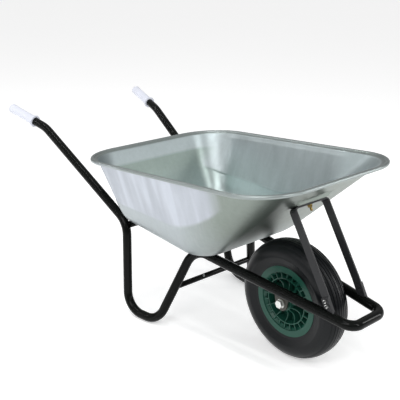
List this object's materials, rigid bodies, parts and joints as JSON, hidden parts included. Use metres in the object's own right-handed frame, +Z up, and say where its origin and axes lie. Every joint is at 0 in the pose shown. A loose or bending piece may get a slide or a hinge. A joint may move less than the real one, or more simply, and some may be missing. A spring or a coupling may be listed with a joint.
{
  "type": "wheelbarrow",
  "caption": "Single-wheel wheelbarrow: deep pressed steel tray on a bent black tube frame with splayed leg loops, a front stay, pale grips and a pneumatic wheel with a ribbed plastic centre.",
  "frame": {"origin": "middle of the base of the whole object's box, on the ground midway between the grips' ends and the nose bar, in the plane of symmetry", "axes": "+X forward from the grips to the wheel, +Y the barrow's left, +Z up; it stands on its wheel and both leg loops"},
  "size_m": [1.5842, 0.672, 0.6715],
  "materials": {
    "galvanised_steel": "galvanised sheet, soft blurred reflections with faint vertical streaks",
    "black_painted_steel": "gloss black paint",
    "pale_grip_plastic": "satin, very pale lavender grey",
    "zinc_steel": "bright zinc plate",
    "yellow_zinc_steel": "yellow passivated zinc plate",
    "green_plastic": "dark green moulded plastic, satin",
    "nylon_bush": "dark nylon",
    "black_tyre": "black rubber, moulded ribs",
    "tube_rubber": "black rubber",
    "valve_brass": "rubber-covered stem",
    "cap_plastic": "black plastic"
  },
  "bodies": {
    "root": {"tray": "galvanised_steel", "rim_wire": "galvanised_steel", "left_frame_tube": "black_painted_steel", "right_frame_tube": "black_painted_steel", "left_grip": "pale_grip_plastic", "right_grip": "pale_grip_plastic", "rear_cross_tube": "black_painted_steel", "front_cross_bar": "black_painted_steel", "leg_brace": "black_painted_steel", "brace_screws": "zinc_steel", "front_stay": "black_painted_steel", "left_stay_lug": "black_painted_steel", "right_stay_lug": "black_painted_steel", "stay_bolts": "zinc_steel", "stay_nuts": "zinc_steel", "stay_top_bolt": "yellow_zinc_steel", "stay_top_washer": "yellow_zinc_steel", "stay_top_nut": "yellow_zinc_steel", "tray_bolts": "zinc_steel", "tray_washers": "zinc_steel", "tray_nuts": "zinc_steel", "left_axle_bracket": "black_painted_steel", "right_axle_bracket": "black_painted_steel", "axle": "zinc_steel", "axle_washers": "zinc_steel", "axle_nut": "zinc_steel", "left_spacer": "zinc_steel", "right_spacer": "zinc_steel"},
    "wheel": {"wheel_centre": "green_plastic", "left_bush": "nylon_bush", "right_bush": "nylon_bush", "tyre": "black_tyre", "inner_tube": "tube_rubber", "valve_stem": "valve_brass", "valve_cap": "cap_plastic"}
  },
  "joints": [
    {"name": "wheel_spin", "type": "hinge", "parent": "root", "child": "wheel", "pos_m": [0.48712, 0, 0.2], "axis": [0, 1, 0], "continuous": true}
  ]
}
